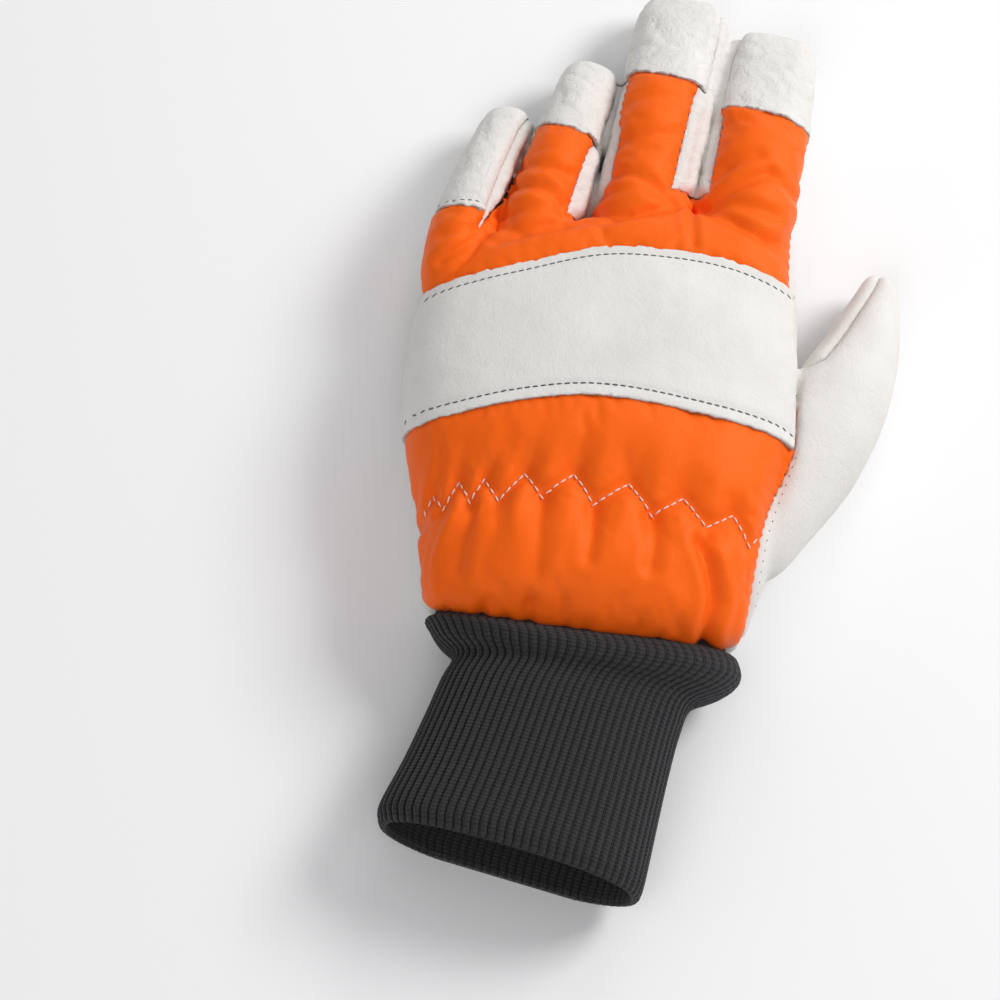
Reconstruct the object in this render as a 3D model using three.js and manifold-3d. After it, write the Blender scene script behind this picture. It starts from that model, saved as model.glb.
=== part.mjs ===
// A left-hand chainsaw glove, size 10, lying palm down with its fingers pointing along +Y.
// Padded fabric back with a leather knuckle strap, leather palm, thumb and fingertips, rib-knit cuff.
// Millimetres, +Z up. The origin is on the flat underside of the palm, +X is the thumb side.
import * as THREE from "three";
import { mergeVertices } from "three/addons/utils/BufferGeometryUtils.js";
import Module from "manifold-3d";

const wasm = await Module();
wasm.setup();

// Hand: from the hem to the finger crotches, across the knuckles, and from palm to back
const handLength = 138;
const handWidth = 112;
const handDepth = 46;
const heelToHem = 38;

// Walls and clearances
const leather = 2;
const padding = 3.2;
const strapLeather = 1.4;
const knit = 2.4;
const seamGap = 0.3;

// How far the leather and the knit settle flat on what they lie on
const settle = 3;

// Fingers and thumb: length past the hand, width and depth at the root
const littleLength = 50;
const ringLength = 58;
const middleLength = 73.5;
const indexLength = 64;
const littleWidth = 19;
const ringWidth = 22.4;
const middleWidth = 27.5;
const indexWidth = 30;
const fingerDepth = 30;
const thumbLength = 106;
const thumbWidth = 40;
const thumbDepth = 31;

// Knuckle strap across the back, and reinforcement strap across the palm
const knuckleStrapWidth = 50;
const palmStrapWidth = 30;

// Cuff
const cuffLength = 66;
const cuffWidth = 67;
const cuffDepth = 36;
const cuffTuck = 9;
const cuffEase = 0.7;
const ribPitch = 3.3;
const ribRelief = 0.9;

// How many points go round each section, and how many steps make a smooth line
const handCount = 40;
const hollowCount = 24;
const fingerCount = 16;
const hollowFingerCount = 10;
const cuffHollowCount = 28;
const lineCount = 12;

const palmLift = strapLeather + seamGap;
const seamHeight = handDepth * 0.45;
const fingerSeam = fingerDepth * 0.42;
const hemY = -heelToHem;
const crotchY = hemY + handLength;

// Sections of the hand from hem to crotch. along: share of handLength; left, right: edges as shares of
// handWidth; top: share of handDepth; slant: rise towards the thumb side, as a slope; lift: 1 where the
// palm stands on the reinforcement strap; gather: share of gatherDepth drawn into the back; bow: how far
// the sides curve up towards the fingers.
const gatherDepth = 2.4;
const gatherWaves = 7;
const handSections = [
  { along: 0.0, left: -0.4, right: 0.442, top: 0.82, slant: 0.04, lift: 0, gather: 0.8, bow: 3.5, bend: true },
  { along: 0.06, left: -0.405, right: 0.45, top: 0.9, slant: 0.04, lift: 0, gather: 0.5, bow: 2, bend: false },
  { along: 0.16, left: -0.424, right: 0.47, top: 0.96, slant: 0.04, lift: 0, gather: 0.3, bow: 0, bend: true },
  { along: 0.22, left: -0.44, right: 0.485, top: 0.96, slant: 0.04, lift: 0, gather: 0.4, bow: 0, bend: false },
  { along: 0.27, left: -0.46, right: 0.492, top: 0.925, slant: 0.03, lift: 0, gather: 0.7, bow: 0, bend: true },
  { along: 0.33, left: -0.487, right: 0.495, top: 0.98, slant: 0.03, lift: 0, gather: 0.3, bow: 0, bend: false },
  { along: 0.42, left: -0.515, right: 0.495, top: 1.0, slant: 0.03, lift: 1, gather: 0, bow: 0, bend: true },
  { along: 0.58, left: -0.53, right: 0.485, top: 0.98, slant: 0.06, lift: 1, gather: 0, bow: 0, bend: false },
  { along: 0.7, left: -0.53, right: 0.465, top: 0.93, slant: 0.12, lift: 1, gather: 0, bow: 0, bend: true },
  { along: 0.81, left: -0.515, right: 0.435, top: 0.86, slant: 0.2, lift: 1, gather: 0, bow: 0, bend: false },
  { along: 0.9, left: -0.505, right: 0.415, top: 0.78, slant: 0.26, lift: 1, gather: 0, bow: 0, bend: true },
  { along: 0.965, left: -0.49, right: 0.405, top: 0.7, slant: 0.3, lift: 1, gather: 0, bow: 0, bend: true },
];
const handRoundness = 2.35;

// Fingers. x: root as a share of handWidth; y: root as a share of handLength above the hem; lean: degrees
// towards the thumb; curl: sideways bend at the tip as a share of the length; taper: width at the tip as a
// share of that at the root; stripFrom, stripTo: edges of the fabric strip, as shares of the half width;
// capAt: where the leather tip starts, as a share of the length; capFrom, capTo: its sides; rise: how much
// further along its thumb side starts.
const fingers = [
  { name: "little", x: -0.458, y: 0.838, lean: 4, curl: 0.12, length: littleLength, width: littleWidth, taper: 0.84,
    stripFrom: -1.4, stripTo: 0.55, capAt: 0.14, capFrom: -1.4, capTo: 0.55, rise: 0.05 },
  { name: "ring", x: -0.262, y: 0.92, lean: 9, curl: 0, length: ringLength, width: ringWidth, taper: 0.86,
    stripFrom: -1.1, stripTo: 0.72, capAt: 0.505, capFrom: -1.1, capTo: 0.92, rise: 0 },
  { name: "middle", x: 0, y: 1.0, lean: 3, curl: 0, length: middleLength, width: middleWidth, taper: 1.12,
    stripFrom: -1.1, stripTo: 0.56, capAt: 0.55, capFrom: -1.1, capTo: 0.8, rise: 0 },
  { name: "index", x: 0.268, y: 1.015, lean: 1, curl: 0, length: indexLength, width: indexWidth, taper: 0.98,
    stripFrom: -0.86, stripTo: 1.0, capAt: 0.52, capFrom: -0.86, capTo: 1.4, rise: -0.05 },
];

// Sections of every finger, from inside the hand to the tip. along: share of its length; wide, deep:
// shares of its width and depth; mid: height of the centre as a share of fingerDepth.
const fingerSections = [
  { along: -0.42, wide: 0.7, deep: 0.72, mid: 0.56, bend: true },
  { along: -0.18, wide: 0.92, deep: 0.94, mid: 0.6, bend: false },
  { along: 0.02, wide: 1.0, deep: 1.0, mid: 0.6, bend: true },
  { along: 0.14, wide: 0.985, deep: 0.95, mid: 0.57, bend: false },
  { along: 0.3, wide: 0.97, deep: 0.96, mid: 0.56, bend: false },
  { along: 0.48, wide: 0.96, deep: 0.93, mid: 0.51, bend: true },
  { along: 0.58, wide: 0.95, deep: 0.87, mid: 0.46, bend: false },
  { along: 0.72, wide: 0.95, deep: 0.84, mid: 0.4, bend: true },
  { along: 0.86, wide: 0.94, deep: 0.77, mid: 0.35, bend: true },
  { along: 0.95, wide: 0.84, deep: 0.6, mid: 0.32, bend: true },
  { along: 1.0, wide: 0.6, deep: 0.34, mid: 0.31, bend: true },
];
const fingerRoundness = 2.5;

// Sections of the thumb, from inside the heel of the hand to the tip. along: share of thumbLength above
// the root; x: centre as a share of handWidth; wide, deep, mid: as for the fingers.
const thumbSections = [
  { along: 0.0, x: 0.38, wide: 0.6, deep: 0.8, mid: 0.5, bend: true },
  { along: 0.14, x: 0.433, wide: 0.7, deep: 0.95, mid: 0.51, bend: false },
  { along: 0.26, x: 0.48, wide: 0.84, deep: 1.0, mid: 0.5, bend: true },
  { along: 0.38, x: 0.51, wide: 0.96, deep: 1.02, mid: 0.49, bend: false },
  { along: 0.5, x: 0.547, wide: 0.94, deep: 1.0, mid: 0.47, bend: true },
  { along: 0.61, x: 0.589, wide: 0.8, deep: 0.95, mid: 0.45, bend: false },
  { along: 0.73, x: 0.624, wide: 0.62, deep: 0.86, mid: 0.43, bend: true },
  { along: 0.85, x: 0.644, wide: 0.45, deep: 0.72, mid: 0.4, bend: true },
  { along: 0.94, x: 0.652, wide: 0.3, deep: 0.54, mid: 0.37, bend: true },
  { along: 1.0, x: 0.65, wide: 0.13, deep: 0.28, mid: 0.36, bend: true },
];
const thumbRoot = 0.205;
const thumbRoundness = 2.3;

// Edges in plan, x as a share of handWidth and y as a share of handLength above the hem
const fabricEdge = [[0.42, -0.1], [0.43, 0.03], [0.446, 0.11], [0.446, 0.24], [0.452, 0.314], [0.482, 0.445],
  [0.488, 0.504], [0.464, 0.66], [0.42, 0.86], [0.4, 1.06]];
const thumbBackSeam = [[0.527, 0.723], [0.563, 0.781], [0.598, 0.847], [0.625, 0.898], [0.643, 0.942], [0.655, 1.0]];
const thumbPalmSeam = [[0.2, -0.1], [0.2, 0.05], [0.235, 0.25], [0.3, 0.4], [0.4, 0.56], [0.455, 0.66], [0.48, 0.752],
  [0.52, 0.825], [0.55, 0.876], [0.58, 0.927], [0.61, 0.97], [0.62, 1.1]];
const palmStrapCentre = [[-0.62, 0.56], [-0.3, 0.64], [0.0, 0.72], [0.24, 0.77]];

// Middle line of the knuckle strap; wide: its width there as a share of knuckleStrapWidth
const strapLine = [
  { x: -0.62, y: 0.507, wide: 0.86 },
  { x: -0.54, y: 0.533, wide: 0.88 },
  { x: -0.4, y: 0.569, wide: 0.91 },
  { x: -0.25, y: 0.613, wide: 0.93 },
  { x: -0.09, y: 0.657, wide: 0.98 },
  { x: 0.06, y: 0.672, wide: 1.0 },
  { x: 0.25, y: 0.675, wide: 1.02 },
  { x: 0.45, y: 0.664, wide: 0.96 },
  { x: 0.55, y: 0.653, wide: 0.94 },
];

// Sections of the cuff below the hem. along: share of cuffLength; left, right: shares of cuffWidth; top:
// share of cuffDepth; ribs: 1 where the ribs stand out; slant: slope of the section; bow: as for the hand.
const cuffSections = [
  { along: 0.009, left: -0.62, right: 0.725, top: 0.97, ribs: 0.2, slant: 0.04, bow: 3.5 },
  { along: 0.06, left: -0.6, right: 0.75, top: 1.03, ribs: 0.3, slant: 0, bow: 3 },
  { along: 0.115, left: -0.55, right: 0.69, top: 1.0, ribs: 0.5, slant: -0.01, bow: 2.5 },
  { along: 0.165, left: -0.47, right: 0.56, top: 0.93, ribs: 1, slant: -0.03, bow: 1.5 },
  { along: 0.45, left: -0.54, right: 0.505, top: 0.97, ribs: 1, slant: -0.08, bow: 0 },
  { along: 0.93, left: -0.665, right: 0.478, top: 1.0, ribs: 1, slant: -0.12, bow: 0 },
  { along: 1.0, left: -0.655, right: 0.468, top: 0.96, ribs: 0.5, slant: -0.12, bow: 0 },
];
const cuffRoundness = 2.3;

// A closed ring of points on a superellipse in a plane across the axis, flattened at the floor
function ring(section, count, even) {
  const power = 2 / section.round;
  const at = (turn) => {
    const c = Math.cos(turn);
    const s = Math.sin(turn);
    const across = Math.sign(c) * Math.abs(c) ** power * section.half;
    const up = section.mid + Math.sign(s) * Math.abs(s) ** power * section.high;
    return { across, up: Math.max(up, section.floor) };
  };
  const turns = [...Array(count).keys()].map((i) => (i / count) * Math.PI * 2);
  const points = even ? evenly(at, count) : turns.map(at);
  return points.map(({ across, up }, i) => {
    const drop = section.wave ? section.wave(across / section.half, up, i) : 0;
    const x = section.x + across * section.side[0];
    const rise = x * (section.slant ?? 0) + (section.bow ?? 0) * (across / section.half) ** 2;
    const y = section.y + across * section.side[1] + rise;
    return new THREE.Vector3(x, y, Math.max(up - drop, section.floor));
  });
}

// The same ring with its points at even steps of length, for ribs of one width
function evenly(at, count) {
  const fine = [...Array(count * 8 + 1).keys()].map((i) => at((i / (count * 8)) * Math.PI * 2));
  const reach = [0];
  for (let i = 1; i < fine.length; i += 1) {
    const step = Math.hypot(fine[i].across - fine[i - 1].across, fine[i].up - fine[i - 1].up);
    reach.push(reach[i - 1] + step);
  }
  let k = 0;
  return [...Array(count).keys()].map((i) => {
    const want = (i / count) * reach[reach.length - 1];
    while (reach[k + 1] < want) k += 1;
    const share = (want - reach[k]) / (reach[k + 1] - reach[k]);
    return {
      across: THREE.MathUtils.lerp(fine[k].across, fine[k + 1].across, share),
      up: THREE.MathUtils.lerp(fine[k].up, fine[k + 1].up, share),
    };
  });
}

// A solid skinned over rings that all have the same number of points, with flat ends
function skin(rings) {
  const count = rings[0].length;
  const positions = rings.flat().flatMap((p) => [p.x, p.y, p.z]);
  const faces = [];
  for (let r = 0; r + 1 < rings.length; r += 1) {
    for (let i = 0; i < count; i += 1) {
      const a = r * count + i;
      const b = r * count + ((i + 1) % count);
      faces.push(a, b, a + count, b, b + count, a + count);
    }
  }
  for (const [first, turned] of [[0, true], [(rings.length - 1) * count, false]]) {
    const centre = new THREE.Vector3();
    for (let i = 0; i < count; i += 1) {
      centre.add(new THREE.Vector3().fromArray(positions, (first + i) * 3));
    }
    centre.divideScalar(count);
    const hub = positions.length / 3;
    positions.push(centre.x, centre.y, centre.z);
    for (let i = 0; i < count; i += 1) {
      const a = first + i;
      const b = first + ((i + 1) % count);
      faces.push(...(turned ? [hub, b, a] : [hub, a, b]));
    }
  }
  const geometry = new THREE.BufferGeometry();
  geometry.setAttribute("position", new THREE.Float32BufferAttribute(positions, 3));
  geometry.setIndex(faces);
  return toSolid(geometry);
}

function toSolid(geometry) {
  const plain = geometry.clone();
  plain.deleteAttribute("normal");
  plain.deleteAttribute("uv");
  const merged = mergeVertices(plain, 1e-5);
  let triangles = Uint32Array.from(merged.index.array);
  const points = Float32Array.from(merged.attributes.position.array);
  if (volumeOf(points, triangles) < 0) triangles = triangles.map((v, i, all) => all[i - (i % 3) + 2 - (i % 3)]);
  return new wasm.Manifold(new wasm.Mesh({ numProp: 3, vertProperties: points, triVerts: triangles }));
}

function volumeOf(points, triangles) {
  let sum = 0;
  const [a, b, c] = [new THREE.Vector3(), new THREE.Vector3(), new THREE.Vector3()];
  for (let i = 0; i < triangles.length; i += 3) {
    a.fromArray(points, triangles[i] * 3);
    b.fromArray(points, triangles[i + 1] * 3);
    c.fromArray(points, triangles[i + 2] * 3);
    sum += a.dot(b.cross(c));
  }
  return sum;
}

const union = (solids) => solids.reduce((all, next) => all.add(next));
const onHand = ([x, y]) => [x * handWidth, hemY + y * handLength];
const gathers = (across) => 0.5 - 0.5 * Math.cos(across * gatherWaves * Math.PI);

// The hand's main form. grow makes it bigger all round, in is the wall left off a hollow
function handForm({ grow = 0, wall = 0, pad = 0, open = 0 }) {
  const rows = wall ? handSections.filter((row) => row.bend) : handSections;
  return skin(rows.map((row, i) => {
    const [left, right] = [row.left * handWidth, row.right * handWidth];
    const lift = row.lift * palmLift;
    const bottom = lift + wall - grow - settle;
    const top = row.top * handDepth - pad + grow;
    const ends = (i === 0 ? -open : 0) + (i === rows.length - 1 ? grow - wall : 0);
    return ring({
      x: (left + right) / 2,
      y: hemY + row.along * handLength + ends,
      half: (right - left) / 2 + grow - wall,
      mid: (bottom + top) / 2,
      high: (top - bottom) / 2,
      floor: Math.max(lift - grow, 0) + wall,
      round: handRoundness,
      side: [1, 0],
      slant: row.slant,
      bow: row.bow,
      wave: (across, up) => (up > seamHeight && !wall ? row.gather * gatherDepth * gathers(across) : 0),
    }, wall ? hollowCount : handCount);
  }));
}

// The middle of a finger at a share of its length, and its sideways direction, in plan
function fingerAxis(finger, along) {
  const turn = THREE.MathUtils.degToRad(finger.lean);
  const [x, y] = onHand([finger.x, finger.y]);
  const [way, side] = [[Math.sin(turn), Math.cos(turn)], [Math.cos(turn), -Math.sin(turn)]];
  const [reach, curl] = [along * finger.length, finger.curl * finger.length * Math.max(along, 0) ** 2];
  return { x: x + way[0] * reach + side[0] * curl, y: y + way[1] * reach + side[1] * curl, side };
}

function widthAt(finger, along) {
  return finger.width * THREE.MathUtils.lerp(1, finger.taper, THREE.MathUtils.clamp(along, 0, 1));
}

function fingerForm(finger, { wall = 0, grow = 0 }) {
  const short = wall / finger.length;
  const rows = wall ? fingerSections.filter((row) => row.bend) : fingerSections;
  return skin(rows.map((row) => {
    const axis = fingerAxis(finger, Math.min(row.along, 1 - short * 1.2));
    return ring({
      x: axis.x,
      y: axis.y,
      half: Math.max((row.wide * widthAt(finger, row.along)) / 2 - wall, 1.5) + grow,
      high: Math.max((row.deep * fingerDepth) / 2 - wall, 1.5) + grow,
      mid: row.mid * fingerDepth,
      floor: wall,
      round: fingerRoundness,
      side: axis.side,
    }, wall ? hollowFingerCount : fingerCount);
  }));
}

// A point in plan on a finger: along as a share of its length, across as a share of its half width
function onFinger(finger, along, across) {
  const axis = fingerAxis(finger, along);
  const rows = fingerSections;
  const k = Math.min(Math.max(rows.findIndex((row) => row.along > along), 1), rows.length - 1);
  const share = THREE.MathUtils.clamp((along - rows[k - 1].along) / (rows[k].along - rows[k - 1].along), 0, 1);
  const wide = along > 0.7 ? 0.95 : THREE.MathUtils.lerp(rows[k - 1].wide, rows[k].wide, share);
  const off = (across * wide * widthAt(finger, along)) / 2;
  return [axis.x + axis.side[0] * off, axis.y + axis.side[1] * off];
}

function thumbForm({ wall = 0, grow = 0 }) {
  const rows = wall ? thumbSections.filter((row) => row.bend) : thumbSections;
  return skin(rows.map((row) => {
    const short = wall / thumbLength;
    return ring({
      x: row.x * handWidth,
      y: hemY + thumbRoot * handLength + Math.min(row.along, 1 - short * 1.2) * thumbLength,
      half: Math.max((row.wide * thumbWidth) / 2 - wall, 1.2) + grow,
      high: Math.max((row.deep * thumbDepth) / 2 - wall, 1.2) + grow,
      mid: row.mid * thumbDepth,
      floor: wall,
      round: thumbRoundness,
      side: [1, 0],
    }, wall ? hollowFingerCount : fingerCount);
  }));
}

// An upright prism over an outline in plan, made bigger or smaller all round by grow
function over(outline, low, high, grow = 0) {
  const points = outline.map(([x, y]) => new THREE.Vector2(x, y));
  if (THREE.ShapeUtils.area(points) < 0) points.reverse();
  const grown = points.map((point, i) => {
    const before = points[(i + points.length - 1) % points.length];
    const after = points[(i + 1) % points.length];
    const inward = point.clone().sub(before).normalize();
    const outward = after.clone().sub(point).normalize();
    const normal = new THREE.Vector2(inward.y + outward.y, -inward.x - outward.x).normalize();
    const spread = Math.max(normal.x * inward.y - normal.y * inward.x, 0.5);
    return point.clone().addScaledVector(normal, grow / spread);
  });
  const prism = new THREE.ExtrudeGeometry(new THREE.Shape(grown), { depth: high - low, bevelEnabled: false });
  return toSolid(prism.translate(0, 0, low));
}

// A band of one width along a line in plan
function bandOutline(centre, width) {
  const line = new THREE.SplineCurve(centre.map((point) => new THREE.Vector2(...onHand(point))));
  const sides = [[], []];
  for (let i = 0; i <= lineCount; i += 1) {
    const point = line.getPoint(i / lineCount);
    const way = line.getTangent(i / lineCount);
    sides[0].push([point.x - (way.y * width) / 2, point.y + (way.x * width) / 2]);
    sides[1].unshift([point.x + (way.y * width) / 2, point.y - (way.x * width) / 2]);
  }
  return sides.flat();
}

// The knuckle strap's outline, wider over the knuckles than at its ends
function strapOutline() {
  const edge = (side) => new THREE.SplineCurve(strapLine.map(({ x, y, wide }) => {
    const [across, up] = onHand([x, y]);
    return new THREE.Vector2(across, up + (side * wide * knuckleStrapWidth) / 2);
  })).getPoints(lineCount).map(({ x, y }) => [x, y]);
  return [...edge(1), ...edge(-1).reverse()];
}

const tall = handDepth * 2;
const farSide = handWidth;
const beyond = 20;

// Outlines in plan of the pieces that make up the hand
function backOutline() {
  const [little, , , index] = fingers;
  const outline = [[-farSide, hemY - beyond], [-farSide, onFinger(little, little.capAt, 0)[1]]];
  for (const finger of fingers) {
    const foot = 0.06;
    const shoulder = Math.min(0.26, finger.capAt);
    if (finger !== little) {
      outline.push(onFinger(finger, foot, finger.stripFrom));
      outline.push(onFinger(finger, shoulder, finger.stripFrom));
      outline.push(onFinger(finger, finger.capAt, finger.stripFrom));
    }
    outline.push(onFinger(finger, finger.capAt + finger.rise, finger.stripTo));
    if (finger !== index) {
      outline.push(onFinger(finger, shoulder, finger.stripTo));
      outline.push(onFinger(finger, foot, finger.stripTo));
    }
  }
  const edge = fabricEdge.map(onHand).reverse().filter(([, y]) => y < onFinger(index, 0, 0)[1]);
  return [...outline, ...edge];
}

function capOutline(finger) {
  return [
    onFinger(finger, finger.capAt, finger.capFrom),
    onFinger(finger, finger.capAt + finger.rise, finger.capTo),
    onFinger(finger, 0.8, finger.capTo),
    onFinger(finger, 1.1, Math.min(finger.capTo, 0.6)),
    onFinger(finger, 1.1, Math.max(finger.capFrom, -0.6)),
    onFinger(finger, 0.8, finger.capFrom),
  ];
}

function sideWallOutline(left, right) {
  return [
    onFinger(left, 1.3, 0.05), onFinger(left, 0.3, 0.05), onFinger(left, -0.04, 0.4),
    onFinger(right, -0.04, -0.4), onFinger(right, 0.3, -0.05), onFinger(right, 1.3, -0.05),
  ];
}

const thumbBackOutline = [
  ...fabricEdge.filter(([, y]) => y < thumbBackSeam[0][1]).map(onHand), ...thumbBackSeam.map(onHand),
  onHand([0.7, 1.12]), [farSide, crotchY], [farSide, hemY - beyond],
];
const thumbPalmOutline = [...thumbPalmSeam.map(onHand), [farSide, crotchY + beyond], [farSide, hemY - beyond]];

const gap = seamGap / 2;
const outer = union([handForm({}), thumbForm({}), ...fingers.map((finger) => fingerForm(finger, {}))]);
const hollow = union([
  handForm({ wall: leather, pad: padding, open: 6 }),
  thumbForm({ wall: leather }),
  ...fingers.map((finger) => fingerForm(finger, { wall: leather })),
]);
const shell = outer.subtract(hollow);

// Each region of the shell: its outline in plan and the heights that it takes in
const regions = {
  back_panel: { outline: backOutline(), low: seamHeight },
  thumb_back: { outline: thumbBackOutline, low: thumbDepth * 0.34 },
};
for (const finger of fingers) {
  regions[`${finger.name}_tip`] = { outline: capOutline(finger), low: fingerSeam * 0.75 };
}
const taken = (names, grow) => union(names.map((name) => (
  over(regions[name].outline, regions[name].low - grow, tall, grow))));
const piece = (name) => over(regions[name].outline, regions[name].low + gap, tall, -gap);
const topNames = Object.keys(regions);

// The largest body of a cut, without the slivers that a cut can leave beside it
function mainBody(solid) {
  const bodies = solid.decompose();
  return bodies.reduce((best, next) => (next.volume() > best.volume() ? next : best));
}

const solids = {};
for (const name of topNames) {
  const others = topNames.filter((other) => other !== name && topNames.indexOf(other) < topNames.indexOf(name));
  const cut = shell.intersect(piece(name));
  solids[name] = others.length ? cut.subtract(taken(others, gap)) : cut;
}
const covered = taken(topNames, gap);

const pairs = [["little", "ring"], ["ring", "middle"], ["middle", "index"]];
const sideWalls = pairs.map(([left, right]) => {
  const find = (name) => fingers.find((finger) => finger.name === name);
  return { name: `${left}_${right}_wall`, outline: sideWallOutline(find(left), find(right)) };
});
for (const wall of sideWalls) {
  solids[wall.name] = shell.intersect(over(wall.outline, fingerSeam * 0.6 + gap, tall, -gap)).subtract(covered);
}
const wallsTaken = union(sideWalls.map((wall) => over(wall.outline, fingerSeam * 0.6 - gap, tall, gap)));
const thumbBlock = over(thumbPalmOutline, -1, tall, -gap).subtract(covered);
solids.thumb_front = shell.intersect(thumbBlock);
solids.palm = shell.subtract(covered).subtract(wallsTaken).subtract(over(thumbPalmOutline, -1, tall, gap));

// Leather straps lie on the shell as layers of their own
const thumbAndFingers = union([thumbForm({ grow: seamGap }),
  ...fingers.map((finger) => fingerForm(finger, { grow: seamGap }))]);
const underStrap = handForm({ grow: seamGap }).add(thumbAndFingers);
const strapLayer = handForm({ grow: seamGap + strapLeather }).subtract(underStrap);
solids.knuckle_strap = strapLayer.intersect(over(strapOutline(), seamHeight, tall));
const underLayer = handForm({ grow: palmLift }).subtract(underStrap);
const palmBand = over(bandOutline(palmStrapCentre, palmStrapWidth), -1, seamHeight * 0.3);
solids.palm_strap = underLayer.intersect(palmBand);

// Cuff: a knit tube tucked into the hem, rolled out below it, ribbed down to its turned end
function cuffForm() {
  const hem = handSections[0];
  const ribs = Math.round((cuffWidth * 1.08 + cuffDepth) * 1.72 / ribPitch);
  const count = ribs * 2;
  const inset = leather + cuffEase;
  const tuck = (y, drop) => {
    const [left, right] = [hem.left * handWidth + inset + drop, hem.right * handWidth - inset - drop];
    const top = hem.top * handDepth - gatherDepth - padding - cuffEase - drop;
    const low = inset + drop;
    return { x: (left + right) / 2, y, half: (right - left) / 2, mid: (top + low) / 2, high: (top - low) / 2,
      floor: low, round: cuffRoundness, side: [1, 0], slant: hem.slant, bow: hem.bow };
  };
  const tube = cuffSections.map((row) => {
    const [left, right, top] = [row.left * cuffWidth, row.right * cuffWidth, row.top * cuffDepth];
    return { x: (left + right) / 2, y: hemY - row.along * cuffLength, half: (right - left) / 2,
      mid: (top - settle) / 2, high: (top + settle) / 2, floor: 0, round: cuffRoundness, side: [1, 0],
      slant: row.slant, bow: row.bow,
      wave: (across, up, i) => (i % 2 && up > 1 ? row.ribs * ribRelief : 0) };
  });
  const body = skin([tuck(hemY + cuffTuck, 1.2), tuck(hemY - seamGap, 0.4), ...tube]
    .map((section) => ring(section, count, true)));
  const inside = [tuck(hemY + cuffTuck + 2, knit + 1.2), tuck(hemY - seamGap, knit + 2),
    ...tube.slice(3).map((section) => ({ ...section, half: section.half - knit - ribRelief,
      high: section.high - knit - ribRelief / 2, floor: knit, wave: undefined }))];
  const last = inside[inside.length - 1];
  const through = { ...last, y: last.y - beyond };
  return body.subtract(skin([...inside, through].map((section) => ring(section, cuffHollowCount, true))));
}
solids.rib_cuff = cuffForm();

const finishes = {
  fabric: { color: 0xff5f14, roughness: 0.55, metalness: 0 },
  leather: { color: 0xe1deda, roughness: 0.6, metalness: 0 },
  knit: { color: 0x28282a, roughness: 0.95, metalness: 0 },
};
const finishOf = { back_panel: "fabric", rib_cuff: "knit" };

const glove = new THREE.Group();
for (const [name, solid] of Object.entries(solids)) {
  const mesh = mainBody(solid).getMesh();
  const geometry = new THREE.BufferGeometry();
  geometry.setAttribute("position", new THREE.Float32BufferAttribute(mesh.vertProperties, 3));
  geometry.setIndex([...mesh.triVerts]);
  geometry.computeVertexNormals();
  const part = new THREE.Mesh(geometry, new THREE.MeshStandardMaterial(finishes[finishOf[name] ?? "leather"]));
  part.name = name;
  glove.add(part);
}

export default glove;
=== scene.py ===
import bmesh
import bpy
import math
from mathutils import Matrix, Vector, kdtree, noise
from mathutils.bvhtree import BVHTree


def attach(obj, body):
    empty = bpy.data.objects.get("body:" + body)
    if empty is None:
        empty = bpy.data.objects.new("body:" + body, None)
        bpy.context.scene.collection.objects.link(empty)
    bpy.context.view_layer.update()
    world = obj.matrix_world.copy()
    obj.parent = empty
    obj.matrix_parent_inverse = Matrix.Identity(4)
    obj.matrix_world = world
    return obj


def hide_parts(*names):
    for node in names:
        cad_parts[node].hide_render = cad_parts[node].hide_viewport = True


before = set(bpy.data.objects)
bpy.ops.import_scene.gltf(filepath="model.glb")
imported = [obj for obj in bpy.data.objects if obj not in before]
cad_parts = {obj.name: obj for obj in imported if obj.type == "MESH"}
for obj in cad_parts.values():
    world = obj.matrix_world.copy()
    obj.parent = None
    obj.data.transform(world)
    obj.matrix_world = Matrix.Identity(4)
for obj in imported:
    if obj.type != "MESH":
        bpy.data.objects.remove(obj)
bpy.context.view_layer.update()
MM = 0.001

# Camera and light. A long lens looks down on the back of the glove from the cuff's side, rolled so that
# the fingers lean to the right, over a pale floor under soft studio light from the thumb's side.
LENS = 200.0
SENSOR = 36.0
AIM = Vector((-26.6, 2, 20)) * MM
ELEVATION = math.radians(70)
ROLL = math.radians(10)
FRAME_WIDTH = 290 * MM
FLOOR_HALF = 6
WORLD_COLOUR, WORLD_STRENGTH = (0.97, 0.97, 1.0, 1), 0.42
FLOOR_COLOUR, FLOOR_ROUGHNESS = (0.93, 0.93, 0.93, 1), 0.8
# name, place, size, power
LAMPS = (("key", (0.95, 0.7, 0.95), 0.6, 13.8), ("fill", (-0.2, -0.9, 1.1), 1.0, 4.5),
         ("rim", (0.2, 1.3, 0.6), 0.5, 3))
distance = FRAME_WIDTH * LENS / SENSOR
toward = Vector((0, math.cos(ELEVATION), -math.sin(ELEVATION)))
level_up = Vector((0, math.sin(ELEVATION), math.cos(ELEVATION)))
level_right = Vector((1, 0, 0))
right = math.cos(ROLL) * level_right + math.sin(ROLL) * level_up
up = math.cos(ROLL) * level_up - math.sin(ROLL) * level_right
camera = bpy.data.objects.new("camera", bpy.data.cameras.new("camera"))
camera.data.lens = LENS
camera.data.sensor_width = SENSOR
camera.data.clip_end = 20
camera_turn = Matrix((right, up, -toward)).transposed().to_4x4()
camera.matrix_world = Matrix.Translation(AIM - toward * distance) @ camera_turn
bpy.context.scene.collection.objects.link(camera)
bpy.context.scene.camera = camera
bpy.context.scene.view_settings.view_transform = "Standard"

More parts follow.
